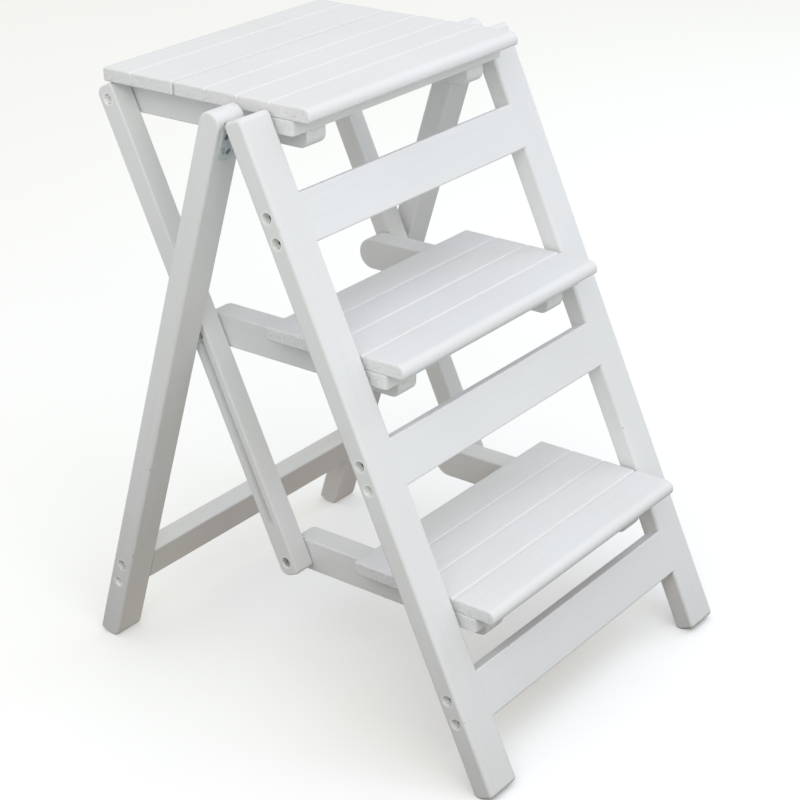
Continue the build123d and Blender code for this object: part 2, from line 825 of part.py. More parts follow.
def make_nodes():
    nodes = {}
    front_frame_nodes(nodes)
    rear_frame_nodes(nodes)
    for number in range(len(step_names)):
        step_nodes(nodes, number)
    link_nodes(nodes)
    return nodes


os.makedirs("parts", exist_ok=True)
all_nodes = make_nodes()
for node_name, pieces in all_nodes.items():
    solids = [solid for piece in pieces for solid in piece.solids()]
    whole = Compound(children=solids) if len(solids) > 1 else solids[0]
    export_step(whole, f"parts/{node_name}.step")

print("steps turn", round(degrees(fold_turn), 3), "degrees to fold")
print("rear frame turns", round(degrees(leg_turn), 3), "degrees to fold")
print("guide pins slide", round(guide_pin_open - guide_pin_folded, 3), "mm to fold")
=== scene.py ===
import json
from math import cos, pi, radians, sin

import bmesh
import bpy
import numpy as np
from mathutils import Matrix, Vector


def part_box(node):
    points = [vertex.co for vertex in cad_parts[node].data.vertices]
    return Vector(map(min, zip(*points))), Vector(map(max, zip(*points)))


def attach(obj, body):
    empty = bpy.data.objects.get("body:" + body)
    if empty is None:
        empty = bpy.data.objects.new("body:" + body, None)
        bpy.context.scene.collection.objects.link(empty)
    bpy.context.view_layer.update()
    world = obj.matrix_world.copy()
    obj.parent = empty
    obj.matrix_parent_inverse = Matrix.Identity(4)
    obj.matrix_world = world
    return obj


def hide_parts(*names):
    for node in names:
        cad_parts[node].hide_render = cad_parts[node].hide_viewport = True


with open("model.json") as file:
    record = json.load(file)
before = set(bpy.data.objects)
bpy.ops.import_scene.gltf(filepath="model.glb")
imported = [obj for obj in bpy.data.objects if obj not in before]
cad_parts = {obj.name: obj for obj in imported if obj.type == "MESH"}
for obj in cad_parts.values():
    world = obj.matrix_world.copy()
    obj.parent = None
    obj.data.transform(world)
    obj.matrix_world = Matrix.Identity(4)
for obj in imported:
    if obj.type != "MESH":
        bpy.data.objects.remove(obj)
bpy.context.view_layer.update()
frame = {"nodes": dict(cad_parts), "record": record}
scene = bpy.context.scene
weld = 1e-6                               # metres: points closer than this are one
print("ladder: frame loaded,", len(frame["nodes"]), "CAD nodes")


# small helpers for node trees, the materials' and the shapes'

def setInputs(tree, node, inputs):
    for socket, value in inputs.items():
        if isinstance(value, bpy.types.NodeSocket):
            tree.links.new(value, node.inputs[socket])
        else:
            node.inputs[socket].default_value = value


def addNode(tree, kind, inputs=None, **settings):
    node = tree.nodes.new(kind)
    for name, value in settings.items():
        setattr(node, name, value)
    setInputs(tree, node, inputs or {})
    return node


def mathNode(tree, operation, *values, clamp=False):
    inputs = dict(enumerate(values))
    node = addNode(tree, "ShaderNodeMath", inputs, operation=operation, use_clamp=clamp)
    return node.outputs[0]


def times(tree, first, second):
    return mathNode(tree, "MULTIPLY", first, second)


def vectorNode(tree, operation, *values):
    inputs = dict(enumerate(values))
    node = addNode(tree, "ShaderNodeVectorMath", inputs, operation=operation)
    return node.outputs["Value" if operation in ("DISTANCE", "DOT_PRODUCT") else "Vector"]


def splitVector(tree, vector):
    return addNode(tree, "ShaderNodeSeparateXYZ", {0: vector}).outputs


def joinVector(tree, x=0.0, y=0.0, z=0.0):
    return addNode(tree, "ShaderNodeCombineXYZ", {0: x, 1: y, 2: z}).outputs[0]


def noiseNode(tree, vector, scale, detail, roughness=0.5, distortion=0.0):
    inputs = {
        "Vector": vector, "Scale": scale, "Detail": detail,
        "Roughness": roughness, "Distortion": distortion,
    }
    return addNode(tree, "ShaderNodeTexNoise", inputs).outputs[0]


# the value's span, from its first to its second number, is carried over to the result's
def rangeNode(tree, value, span, result=(0.0, 1.0), smooth=False):
    inputs = {"Value": value, 1: span[0], 2: span[1], 3: result[0], 4: result[1]}
    kind = "SMOOTHSTEP" if smooth else "LINEAR"
    return addNode(tree, "ShaderNodeMapRange", inputs, interpolation_type=kind).outputs[0]


# a Mix node's colours are its sockets 6 and 7, its plain numbers 2 and 3
def mixColours(tree, factor, first, second):
    inputs = {"Factor": factor}
    for socket, value in ((6, first), (7, second)):
        inputs[socket] = value if isinstance(value, bpy.types.NodeSocket) else (*value, 1.0)
    return addNode(tree, "ShaderNodeMix", inputs, data_type="RGBA").outputs[2]


def eitherNumber(tree, isSecond, first, second):
    return addNode(tree, "ShaderNodeMix", {0: isSecond, 2: first, 3: second}).outputs[0]


# bumps laid one on another, each a height with its (strength, depth in metres)
def reliefNodes(tree, *layers):
    normal = None
    for height, (strength, depth) in layers:
        inputs = {"Height": height, "Strength": strength, "Distance": depth}
        if normal is not None:
            inputs["Normal"] = normal
        normal = addNode(tree, "ShaderNodeBump", inputs).outputs[0]
    return normal


def newMaterial(name, kind="ShaderNodeBsdfPrincipled"):
    material = bpy.data.materials.new(name)
    material.use_nodes = True
    tree = material.node_tree
    tree.nodes.clear()
    shader = addNode(tree, kind)
    addNode(tree, "ShaderNodeOutputMaterial", {0: shader.outputs[0]})
    return material, tree, shader


# places of the CAD screws and bolts, which the paint and the detailed ones both need
def fastenerRows(node):
    work = bmesh.new()
    work.from_mesh(frame["nodes"][node].data)
    bmesh.ops.remove_doubles(work, verts=work.verts, dist=weld)
    unseen = set(work.verts)
    rows = []
    while unseen:
        stack, cloud = [unseen.pop()], []
        while stack:
            vertex = stack.pop()
            cloud.append(vertex.co[:])
            for edge in vertex.link_edges:
                other = edge.other_vert(vertex)
                if other in unseen:
                    unseen.remove(other)
                    stack.append(other)
        rows.append(fastenerRow(np.array(cloud)))
    work.free()
    return sorted(rows, key=lambda row: tuple(round(value, 4) for value in row["crown"]))


# crown of the head, direction from head to tip, length and head radius of one fastener
def fastenerRow(cloud):
    nearlyStraight = 0.999                # such an axis is one of the frame's own
    outerPart = 0.93                      # of the head's radius: only the head reaches it
    spreads, axes = np.linalg.eigh(np.cov((cloud - cloud.mean(0)).T))
    odd = 0 if spreads[1] - spreads[0] > spreads[2] - spreads[1] else 2
    axis = axes[:, odd]
    if abs(axis).max() > nearlyStraight:
        axis = np.round(axis)
    local = cloud @ axes
    centre = axes @ ((local.max(0) + local.min(0)) / 2)
    offset = cloud - centre
    along = offset @ axis
    across = np.linalg.norm(offset - np.outer(along, axis), axis=1)
    if along[across > outerPart * across.max()].mean() > 0:
        axis, along = -axis, -along
    return {
        "crown": centre + axis * along.min(), "axis": axis,
        "length": float(along.max() - along.min()), "head": float(across.max()),
    }


# white satin paint on softwood: a noise is (scale, detail, roughness, distortion), a relief is
# (strength, depth), and a span is where a mask begins and where it is full
paintLook = {
    "body": (0.797, 0.798, 0.808),
    "thin": (0.765, 0.763, 0.765),        # where the brush left less paint
    "edge": (0.782, 0.777, 0.777),        # rubbed corners
    "primer": (0.420, 0.395, 0.360),      # under a chip
    "endGrain": (0.600, 0.600, 0.590),    # pits in the sawn ends
    "boreHighlightAndRim": (0.965, 0.970, 0.957),      # painted highlight on the walls of the screw holes, and a lighter ring on their rims

    "brushNoise": (285.0, 4.0, 0.62),
    "grainNoise": (78.0, 3.0, 0.5, 0.6),
    "stretch": 0.035,                     # brush marks and grain run along the timber
    "poreNoise": (900.0, 2.0),
    "cloudNoise": (7.0, 2.0),
    "chipNoise": (130.0, 5.0, 0.65),
    "pitNoise": (320.0, 4.0, 0.65),
    "ringNoise": (75.0, 3.0, 0.6, 0.8),
    "ringStretch": (1.0, 1.0, 4.5),
    "seedStep": (1.7, 2.3, 3.1),          # metres the pattern moves for each whole seed

    "faceToCorner": (0.995, 0.86),        # span of the normal's largest part
    "sawnSpan": (0.90, 0.985),            # span of its part along the timber
    "brushShare": 0.55,                   # of brush marks and clouds in the tone
    "cloudShare": 0.60,
    "toneSpan": (0.46, 0.74),
    "mostThin": 0.85,
    "edgeShare": 0.55,
    "pitSpan": (0.50, 0.66),
    "ringSpan": (0.42, 0.62),
    "ringShares": (0.15, 0.75),           # of the pits between the rings and on them
    "chipWidth": 0.02,
    "chipEdge": (0.25, 0.60),             # chips only where the edge mask is this strong

    "boreWall": (0.0064, 0.0070),         # metres from the middle of a screw hole
    "boreFacing": (0.3, 0.6),             # sideways part of the normal: least on a hole's wall
    "boreRim": (0.0066, 0.0082),
    "rimShare": 0.55,
    "nickReach": (0.0062, 0.0074),        # metres from the middle of a knock
    "nickRagged": 0.012,
    "nickDepth": 0.85,                    # share of bare wood in a knocked place

    "roughSpan": (0.3, 0.7),              # of the brush marks
    "roughness": (0.50, 0.66),
    "sawnRoughness": 0.15,
    "specular": 0.30,
    "coat": 0.03,
    "coatRoughness": 0.30,
    "grainRelief": (0.45, 0.0004),
    "brushRelief": (0.30, 0.0002),
    "poreRelief": (0.20, 0.0001),
    "pitRelief": (0.70, 0.0005),
    "chipRelief": (0.80, 0.0003),
}


def leanedVector(tree, vector, lean):
    return addNode(
        tree, "ShaderNodeVectorRotate", {"Vector": vector, "Angle": lean}, rotation_type="X_AXIS",
    ).outputs[0]


# painted highlight on the walls of the screw holes, and a weaker lighter ring over their rims
def boreHighlightAndRimMask(tree, place, sideways, bores):
    look = paintLook
    flat = vectorNode(tree, "MULTIPLY", place, (0.0, 1.0, 1.0))
    nearest = 1.0                         # metres, further than any hole
    for bore in bores:
        away = vectorNode(tree, "DISTANCE", flat, (0.0, *bore))
        nearest = mathNode(tree, "MINIMUM", away, nearest)
    wall = times(
        tree, rangeNode(tree, nearest, look["boreWall"], (1.0, 0.0)),
        rangeNode(tree, sideways, look["boreFacing"], (1.0, 0.0)))
    rim = rangeNode(tree, nearest, look["boreRim"], (look["rimShare"], 0.0), smooth=True)
    return mathNode(tree, "MAXIMUM", wall, rim)


# the pattern sees the timber stood upright by its lean, so marks run along it, and its faces are
# square to the pattern's axes; chipped is the level of noise above which its corners are bare
def paintedWood(name, lean, along, seed, chipped=0.68, nicks=(), bores=()):
    material, tree, shader = newMaterial(name)
    look = paintLook
    coordinates = addNode(tree, "ShaderNodeTexCoord").outputs
    place = coordinates["Object"]
    shift = tuple(seed * step for step in look["seedStep"])
    shifted = vectorNode(tree, "ADD", leanedVector(tree, place, lean), shift)
    facing = leanedVector(tree, coordinates["Normal"], lean)
    facing = splitVector(tree, vectorNode(tree, "ABSOLUTE", facing))
    flattest = mathNode(tree, "MAXIMUM", facing[0], facing[1])
    flattest = mathNode(tree, "MAXIMUM", flattest, facing[2])
    edge = rangeNode(tree, flattest, look["faceToCorner"], smooth=True)
    sawnEnd = rangeNode(tree, facing[along], look["sawnSpan"], smooth=True)

    stretch = [1.0, 1.0, 1.0]
    stretch[along] = look["stretch"]
    streaks = vectorNode(tree, "MULTIPLY", shifted, stretch)
    brush = noiseNode(tree, streaks, *look["brushNoise"])
    grain = noiseNode(tree, streaks, *look["grainNoise"])
    pores = noiseNode(tree, shifted, *look["poreNoise"])
    cloud = noiseNode(tree, shifted, *look["cloudNoise"])
    chips = noiseNode(tree, shifted, *look["chipNoise"])
    pits = noiseNode(tree, shifted, *look["pitNoise"])
    ringPlace = vectorNode(tree, "MULTIPLY", shifted, look["ringStretch"])
    rings = noiseNode(tree, ringPlace, *look["ringNoise"])

    brushTone = times(tree, brush, look["brushShare"])
    cloudTone = times(tree, cloud, look["cloudShare"])
    tone = mathNode(tree, "ADD", brushTone, cloudTone)
    tone = rangeNode(tree, tone, look["toneSpan"], (0.0, look["mostThin"]))
    colour = mixColours(tree, tone, look["body"], look["thin"])
    colour = mixColours(tree, times(tree, edge, look["edgeShare"]), colour, look["edge"])
    # painted highlight on the screw holes' walls, and a lighter ring on their rims
    if bores:
        boreHighlightAndRim = boreHighlightAndRimMask(tree, place, facing[0], bores)
        colour = mixColours(tree, boreHighlightAndRim, colour, look["boreHighlightAndRim"])
    pitMask = times(tree, rangeNode(tree, pits, look["pitSpan"]), sawnEnd)
    pitMask = times(tree, pitMask, rangeNode(tree, rings, look["ringSpan"], look["ringShares"]))
    colour = mixColours(tree, pitMask, colour, look["endGrain"])
    chipMask = times(
        tree, rangeNode(tree, chips, (chipped, chipped + look["chipWidth"])),
        rangeNode(tree, edge, look["chipEdge"]))
    for nick in nicks:
        away = vectorNode(tree, "DISTANCE", place, nick)
        ragged = mathNode(tree, "MULTIPLY_ADD", pits, look["nickRagged"], away)
        nickMask = rangeNode(tree, ragged, look["nickReach"], (look["nickDepth"], 0.0))
        chipMask = mathNode(tree, "MAXIMUM", chipMask, nickMask)
    colour = mixColours(tree, chipMask, colour, look["primer"])

    rough = rangeNode(tree, brush, look["roughSpan"], look["roughness"])
    sawnRough = times(tree, sawnEnd, look["sawnRoughness"])
    setInputs(tree, shader, {
        "Base Color": colour,
        "Roughness": mathNode(tree, "ADD", rough, sawnRough, clamp=True),
        "Normal": reliefNodes(
            tree, (grain, look["grainRelief"]), (brush, look["brushRelief"]),
            (pores, look["poreRelief"]), (times(tree, pitMask, -1.0), look["pitRelief"]),
            (times(tree, chipMask, -1.0), look["chipRelief"])),
        "Specular IOR Level": look["specular"],
        "Coat Weight": look["coat"],
        "Coat Roughness": look["coatRoughness"],
    })
    return material


platedLook = {
    "drawnNoise": (1600.0, 3.0, 0.6),     # fine lines from the drawn wire
    "drawnStretch": (1.0, 0.12, 0.12),
    "mottleNoise": (260.0, 4.0, 0.6),
    "mottleSpan": (0.35, 0.65),
    "spotNoise": (700.0, 3.0, 0.7),
    "spotSpan": (0.62, 0.70),
    "spotShare": 0.8,
    "roughSpan": (0.3, 0.7),              # of the drawn lines
    "drawnRelief": (0.25, 0.00005),
    "mottleRelief": (0.15, 0.0001),
}
platedFinishes = {
    "zincPlate": {
        "bright": (0.62, 0.66, 0.69), "dull": (0.46, 0.50, 0.53), "stain": (0.20, 0.20, 0.20),
        "roughness": (0.28, 0.48),
    },
    "darkScrew": {
        "bright": (0.07, 0.07, 0.075), "dull": (0.025, 0.025, 0.03), "stain": (0.13, 0.09, 0.06),
        "roughness": (0.30, 0.50),
    },
}


def platedSteel(name, finish):
    material, tree, shader = newMaterial(name)
    look = platedLook
    place = addNode(tree, "ShaderNodeTexCoord").outputs["Object"]
    lines = vectorNode(tree, "MULTIPLY", place, look["drawnStretch"])
    drawn = noiseNode(tree, lines, *look["drawnNoise"])
    mottle = noiseNode(tree, place, *look["mottleNoise"])
    spots = noiseNode(tree, place, *look["spotNoise"])
    dulled = rangeNode(tree, mottle, look["mottleSpan"])
    spotMask = rangeNode(tree, spots, look["spotSpan"], (0.0, look["spotShare"]))
    colour = mixColours(tree, dulled, finish["bright"], finish["dull"])
    setInputs(tree, shader, {
        "Base Color": mixColours(tree, spotMask, colour, finish["stain"]),
        "Roughness": rangeNode(tree, drawn, look["roughSpan"], finish["roughness"]),
        "Normal": reliefNodes(
            tree, (drawn, look["drawnRelief"]), (mottle, look["mottleRelief"])),
        "Metallic": 1.0,
    })
    return material


halfPaintedLook = {
    "coverNoise": (95.0, 4.0, 0.6),
    "fineNoise": (900.0, 3.0, 0.6),
    "fineShare": 0.25,
    "coverWidth": 0.06,
    "roughness": (0.38, 0.55),            # of the metal and of the paint
    "coverRelief": (0.50, 0.0001),
    "fineRelief": (0.15, 0.0001),
}
halfPaintedFinishes = {
    "hingeSteel": {
        "paint": (0.65, 0.69, 0.705), "zinc": (0.50, 0.53, 0.55), "dull": (0.28, 0.30, 0.31),
        "bareFrom": 0.68,
    },
    "hingeScrew": {
        "paint": (0.40, 0.43, 0.44), "zinc": (0.30, 0.32, 0.33), "dull": (0.10, 0.11, 0.115),
        "bareFrom": 0.60,
    },
}


# zinc with the ladder's paint brushed over most of it
def halfPaintedSteel(name, finish):
    material, tree, shader = newMaterial(name)
    look = halfPaintedLook
    place = addNode(tree, "ShaderNodeTexCoord").outputs["Object"]
    cloud = noiseNode(tree, place, *look["coverNoise"])
    fine = noiseNode(tree, place, *look["fineNoise"])
    cover = mathNode(tree, "MULTIPLY_ADD", fine, look["fineShare"], cloud)
    bareFrom = finish["bareFrom"]
    cover = rangeNode(tree, cover, (bareFrom, bareFrom + look["coverWidth"]), (1.0, 0.0))
    metal = mixColours(tree, fine, finish["zinc"], finish["dull"])
    setInputs(tree, shader, {
        "Base Color": mixColours(tree, cover, metal, finish["paint"]),
        "Metallic": rangeNode(tree, cover, (0.0, 1.0), (1.0, 0.0)),
        "Roughness": rangeNode(tree, cover, (0.0, 1.0), look["roughness"]),
        "Normal": reliefNodes(tree, (cover, look["coverRelief"]), (fine, look["fineRelief"])),
    })
    return material


def boresOf(*nodes):
    rows = [row for node in nodes for row in fastenerRows(node)]
    return [tuple(row["crown"][1:]) for row in rows if row["crown"][0] < 0]


stileLean = radians(23.8)                 # back from upright
legLean = radians(-18.6)
runX, runY, runZ = 0, 1, 2                # axis along a timber, once it stands upright

# two knocks on the left stile's front edge
stileNicks = ((-0.2195, -0.0347, 0.5617), (-0.2175, -0.2474, 0.0838))
railBores = boresOf("rail_screws")
crossbarBores = boresOf("crossbar_screws")
linkBores = boresOf("lower_step_link_bolts", "middle_step_link_bolts", "platform_link_bolts")

timbers = {
    "stilePaint": {
        "lean": stileLean, "along": runZ, "seed": 1.0, "nicks": stileNicks, "bores": railBores},
    "railPaint": {"lean": stileLean, "along": runX, "seed": 2.0},
    "legPaint": {"lean": legLean, "along": runZ, "seed": 3.0, "bores": crossbarBores},
    "crossbarPaint": {"lean": legLean, "along": runX, "seed": 4.0},
    "boardPaint": {"lean": 0.0, "along": runX, "seed": 5.0, "chipped": 0.74},
    "bearerPaint": {"lean": 0.0, "along": runY, "seed": 6.0},
    "barPaint": {"lean": stileLean, "along": runZ, "seed": 7.0, "bores": linkBores},
    "heldPaint": {"lean": 0.0, "along": runZ, "seed": 8.0},    # on the heads of painted screws
}

finishes = {}
for name, finish in platedFinishes.items():
    finishes[name] = platedSteel(name, finish)
for name, finish in halfPaintedFinishes.items():
    finishes[name] = halfPaintedSteel(name, finish)
for name, timber in timbers.items():
    finishes[name] = paintedWood(name, **timber)

# by the end of a CAD node's name; all the others are plain zinc
nodeFinish = {
    "stile": "stilePaint", "rail": "railPaint", "leg": "legPaint", "crossbar": "crossbarPaint",
    "board": "boardPaint", "batten": "boardPaint", "bearer": "bearerPaint",
    "link_bar": "barPaint", "hinge_leaf": "hingeSteel",
}

for name, node in frame["nodes"].items():
    endings = [ending for ending in nodeFinish if name.endswith(ending)]
    finish = nodeFinish[endings[0]] if endings else "zincPlate"
    node.data.materials.clear()
    node.data.materials.append(finishes[finish])
print("ladder: paint and steel on every CAD node")


# small helpers for shape trees

def newShapeTree(name, sizes, materials):
    tree = bpy.data.node_groups.new(name, "GeometryNodeTree")
    face = tree.interface
    face.new_socket("Geometry", in_out="INPUT", socket_type="NodeSocketGeometry")
    face.new_socket("Geometry", in_out="OUTPUT", socket_type="NodeSocketGeometry")
    kinds = {int: "NodeSocketInt", float: "NodeSocketFloat", tuple: "NodeSocketVector"}
    for label, value in sizes.items():
        socket = face.new_socket(label, in_out="INPUT", socket_type=kinds[type(value)])
        socket.default_value = value
    for label in materials:
        face.new_socket(label, in_out="INPUT", socket_type="NodeSocketMaterial")
    return tree, addNode(tree, "NodeGroupInput").outputs


def keepOnPoints(tree, geometry, value, kind="VECTOR"):
    node = addNode(tree, "GeometryNodeCaptureAttribute")
    node.capture_items.new(kind, "kept")
    setInputs(tree, node, {0: geometry, 1: value})
    return node.outputs[0], node.outputs[1]


def evenCurve(tree, curve, spacing):
    return addNode(
        tree, "GeometryNodeResampleCurve", {"Curve": curve, "Length": spacing}, mode="LENGTH",
    ).outputs[0]


def finishTree(tree, geometry, finish, otherFinish=None):
    real = addNode(tree, "GeometryNodeRealizeInstances", {0: geometry}).outputs[0]
    solid = addNode(tree, "GeometryNodeSetMaterial", {0: real, "Material": finish}).outputs[0]
    if otherFinish is not None:
        painted = addNode(
            tree, "GeometryNodeInputNamedAttribute", {"Name": "painted"}, data_type="FLOAT")
        chosen = mathNode(tree, "GREATER_THAN", painted.outputs[0], 0.5)
        solid = addNode(
            tree, "GeometryNodeSetMaterial",
            {0: solid, "Selection": chosen, "Material": otherFinish}).outputs[0]
    addNode(tree, "NodeGroupOutput", {0: solid})


# smooth faces, with the edges that bend more than this angle left crisp
def crispEdges(tree, geometry, angle=0.62):
    smooth = addNode(tree, "GeometryNodeSetShadeSmooth", {0: geometry, 2: True}).outputs[0]
    bend = addNode(tree, "GeometryNodeInputMeshEdgeAngle").outputs[0]
    crisp = mathNode(tree, "GREATER_THAN", bend, angle)
    return addNode(
        tree, "GeometryNodeSetShadeSmooth", {0: smooth, 1: crisp, 2: False}, domain="EDGE",
    ).outputs[0]


# an object shaped by a tree, then turned into a plain mesh with its faces outward
def shapeFromTree(name, tree, values, mesh=None):
    piece = bpy.data.objects.new(name, mesh or bpy.data.meshes.new(name + "Seed"))
    scene.collection.objects.link(piece)
    modifier = piece.modifiers.new("shape", "NODES")
    modifier.node_group = tree
    for item in tree.interface.items_tree:
        if item.in_out == "INPUT" and item.name in values:
            modifier[item.identifier] = values[item.name]
    shaped = piece.evaluated_get(bpy.context.evaluated_depsgraph_get())
    plain = bpy.data.meshes.new_from_object(shaped)
    plain.name = name
    piece.modifiers.remove(modifier)
    piece.data = plain
    work = bmesh.new()
    work.from_mesh(plain)
    bmesh.ops.recalc_face_normals(work, faces=work.faces)
    work.to_mesh(plain)
    work.free()
    return piece


bodyOf = {
    node: body for body, nodes in frame["record"]["behaviour"]["bodies"].items() for node in nodes
}


def standFor(piece, node):
    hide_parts(node)
    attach(piece, bodyOf[node])


# step boards: one outline with a round nose and planed grooves, run from side to side
boardLook = {
    "Nose Top": 0.0090,
    "Nose Bottom": 0.0050,
    "Rear Corner": 0.0022,
    "End Corner": 0.0020,
    "First Groove": 0.0428,               # from the rear edge
    "Groove Pitch": 0.0428,
    "Grooves": 3,
    "Groove Width": 0.0050,
    "Groove Depth": 0.0015,
    "Point Spacing": 0.0007,
    "End Rings": 5,                       # in the rounding of each end
}
rearBoardLook = {
    **boardLook,
    "Nose Top": boardLook["Rear Corner"],
    "Nose Bottom": boardLook["Rear Corner"],
    "First Groove": 0.0400,
    "Grooves": 1,
}


# x from front to back and y up, with a radius of its own at each corner; each point keeps its
# place and the direction out of the board
def boardOutline(tree, size):
    cornerPoints = 10
    place = addNode(tree, "GeometryNodeInputPosition").outputs[0]
    spot = splitVector(tree, place)
    isTop = mathNode(tree, "GREATER_THAN", spot[1], 0.0)
    isRear = mathNode(tree, "GREATER_THAN", spot[0], 0.0)
    nose = eitherNumber(tree, isTop, size["Nose Bottom"], size["Nose Top"])
    radius = eitherNumber(tree, isRear, nose, size["Rear Corner"])
    outline = addNode(
        tree, "GeometryNodeCurvePrimitiveQuadrilateral",
        {"Width": size["Depth"], "Height": size["Thickness"]}, mode="RECTANGLE").outputs[0]
    outline = addNode(
        tree, "GeometryNodeFilletCurve",
        {"Curve": outline, "Count": cornerPoints, "Radius": radius}, mode="POLY").outputs[0]
    outline = evenCurve(tree, outline, size["Point Spacing"])
    tangent = splitVector(tree, addNode(tree, "GeometryNodeInputTangent").outputs[0])
    normal = joinVector(tree, tangent[1], times(tree, tangent[0], -1.0))
    side = mathNode(tree, "SIGN", vectorNode(tree, "DOT_PRODUCT", normal, place))
    outward = addNode(
        tree, "ShaderNodeVectorMath", {0: normal, "Scale": side}, operation="SCALE").outputs[0]
    outline, keptPlace = keepOnPoints(tree, outline, place)
    outline, keptOutward = keepOnPoints(tree, outline, outward)
    return outline, keptPlace, keptOutward


# one point for each ring along the board, which keeps the ring's x and how far it draws in;
# they are close together where the ends are rounded
def boardRings(tree, size):
    guardGap = 0.001                      # from the rounding to the first ring of the long run
    last = mathNode(tree, "MULTIPLY_ADD", size["End Rings"], 2.0, 3.0)
    count = mathNode(tree, "ADD", last, 1.0)
    run = addNode(tree, "GeometryNodeCurvePrimitiveLine").outputs[0]
    run = addNode(
        tree, "GeometryNodeResampleCurve", {"Curve": run, "Count": count}, mode="COUNT",
    ).outputs[0]
    ring = addNode(tree, "GeometryNodeInputIndex").outputs[0]
    fromRight = mathNode(tree, "SUBTRACT", last, ring)
    nearest = mathNode(tree, "MINIMUM", ring, fromRight)
    onArc = mathNode(tree, "MINIMUM", nearest, size["End Rings"])
    turn = times(tree, mathNode(tree, "DIVIDE", onArc, size["End Rings"]), pi / 2)
    fromEnd = mathNode(tree, "SUBTRACT", 1.0, mathNode(tree, "COSINE", turn))
    fromEnd = times(tree, fromEnd, size["End Corner"])
    isGuard = mathNode(tree, "GREATER_THAN", nearest, size["End Rings"])
    fromEnd = mathNode(tree, "MULTIPLY_ADD", isGuard, guardGap, fromEnd)
    inset = mathNode(tree, "SUBTRACT", 1.0, mathNode(tree, "SINE", turn))
    inset = times(tree, inset, size["End Corner"])
    isRight = mathNode(tree, "LESS_THAN", fromRight, ring)
    rightX = mathNode(tree, "SUBTRACT", size["Length"], fromEnd)
    ringX = eitherNumber(tree, isRight, fromEnd, rightX)
    return keepOnPoints(tree, run, joinVector(tree, ringX, inset))


# how far the top sinks near each groove line, deepest on the line
def grooveSink(tree, size, fromRear, upward):
    topFacing = 0.8                       # points that face up less than this stay
    steps = mathNode(tree, "SUBTRACT", fromRear, size["First Groove"])
    steps = mathNode(tree, "DIVIDE", steps, size["Groove Pitch"])
    most = mathNode(tree, "SUBTRACT", size["Grooves"], 1.0)
    line = mathNode(tree, "MINIMUM", mathNode(tree, "ROUND", steps), most)
    line = mathNode(tree, "MAXIMUM", line, 0.0)
    offLine = mathNode(tree, "ABSOLUTE", mathNode(tree, "SUBTRACT", steps, line))
    offLine = times(tree, offLine, size["Groove Pitch"])
    reach = times(tree, size["Groove Width"], 0.5)
    sink = rangeNode(tree, offLine, (0.0, reach), (size["Groove Depth"], 0.0), smooth=True)
    return times(tree, sink, mathNode(tree, "GREATER_THAN", upward, topFacing))


def boardTree():
    tree, size = newShapeTree("groovedBoard", {
        "Low Corner": (0.0, 0.0, 0.0), "Length": 0.345, "Depth": 0.179, "Thickness": 0.015,
        **boardLook,
    }, ["Paint"])
    outline, keptPlace, keptOutward = boardOutline(tree, size)
    run, keptRing = boardRings(tree, size)
    board = addNode(
        tree, "GeometryNodeCurveToMesh",
        {"Curve": run, "Profile Curve": outline, "Fill Caps": True}).outputs[0]
    flat = splitVector(tree, keptPlace)
    away = splitVector(tree, keptOutward)
    rings = splitVector(tree, keptRing)
    halfDepth = times(tree, size["Depth"], 0.5)
    halfThick = times(tree, size["Thickness"], 0.5)
    sink = grooveSink(tree, size, mathNode(tree, "SUBTRACT", halfDepth, flat[0]), away[1])
    y = mathNode(tree, "SUBTRACT", flat[0], times(tree, away[0], rings[1]))
    z = mathNode(tree, "SUBTRACT", flat[1], times(tree, away[1], rings[1]))
    z = mathNode(tree, "SUBTRACT", z, sink)
    y = mathNode(tree, "ADD", y, halfDepth)
    z = mathNode(tree, "ADD", z, halfThick)
    spread = vectorNode(tree, "ADD", joinVector(tree, rings[0], y, z), size["Low Corner"])
    board = addNode(
        tree, "GeometryNodeSetPosition", {"Geometry": board, "Position": spread}).outputs[0]
    finishTree(tree, crispEdges(tree, board), size["Paint"])
    return tree


def makeBoards():
    tree = boardTree()
    looks = {
        "lower_step_board": boardLook, "middle_step_board": boardLook,
        "platform_front_board": boardLook, "platform_rear_board": rearBoardLook,
    }
    for node, look in looks.items():
        low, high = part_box(node)
        values = {
            "Low Corner": tuple(low), "Length": high[0] - low[0], "Depth": high[1] - low[1],
            "Thickness": high[2] - low[2], "Paint": finishes["boardPaint"], **look,
        }
        standFor(shapeFromTree(node.replace("_step", "") + "_planed", tree, values), node)
    print("ladder: planed boards done")


makeBoards()


# screws and bolts are turned shapes, set at the places of the CAD ones
def seatPoints(name, rows, painted):
    mesh = bpy.data.meshes.new(name)
    mesh.from_pydata([tuple(row["crown"]) for row in rows], [], [])
    mesh.attributes.new("axis", "FLOAT_VECTOR", "POINT")
    mesh.attributes.new("painted", "FLOAT", "POINT")
    for index, row in enumerate(rows):
        mesh.attributes["axis"].data[index].vector = tuple(row["axis"])
        mesh.attributes["painted"].data[index].value = 1.0 if index in painted else 0.0
    return mesh


# a curve through (radius, depth) places, each a number or a socket
def profileCurve(tree, places, spacing):
    line = addNode(tree, "GeometryNodeMeshLine", {"Count": len(places)}).outputs[0]
    switch = addNode(tree, "GeometryNodeIndexSwitch", data_type="VECTOR")
    while len(switch.index_switch_items) < len(places):
        switch.index_switch_items.new()
    inputs = {0: addNode(tree, "GeometryNodeInputIndex").outputs[0]}
    for index, (radius, depth) in enumerate(places):
        inputs[index + 1] = joinVector(tree, radius, depth)
    setInputs(tree, switch, inputs)
    line = addNode(
        tree, "GeometryNodeSetPosition", {0: line, "Position": switch.outputs[0]}).outputs[0]
    curve = addNode(tree, "GeometryNodeMeshToCurve", {0: line}).outputs[0]
    return evenCurve(tree, curve, spacing)


threadSharpness = 2.5                     # of both kinds of thread: more gives a narrower crest


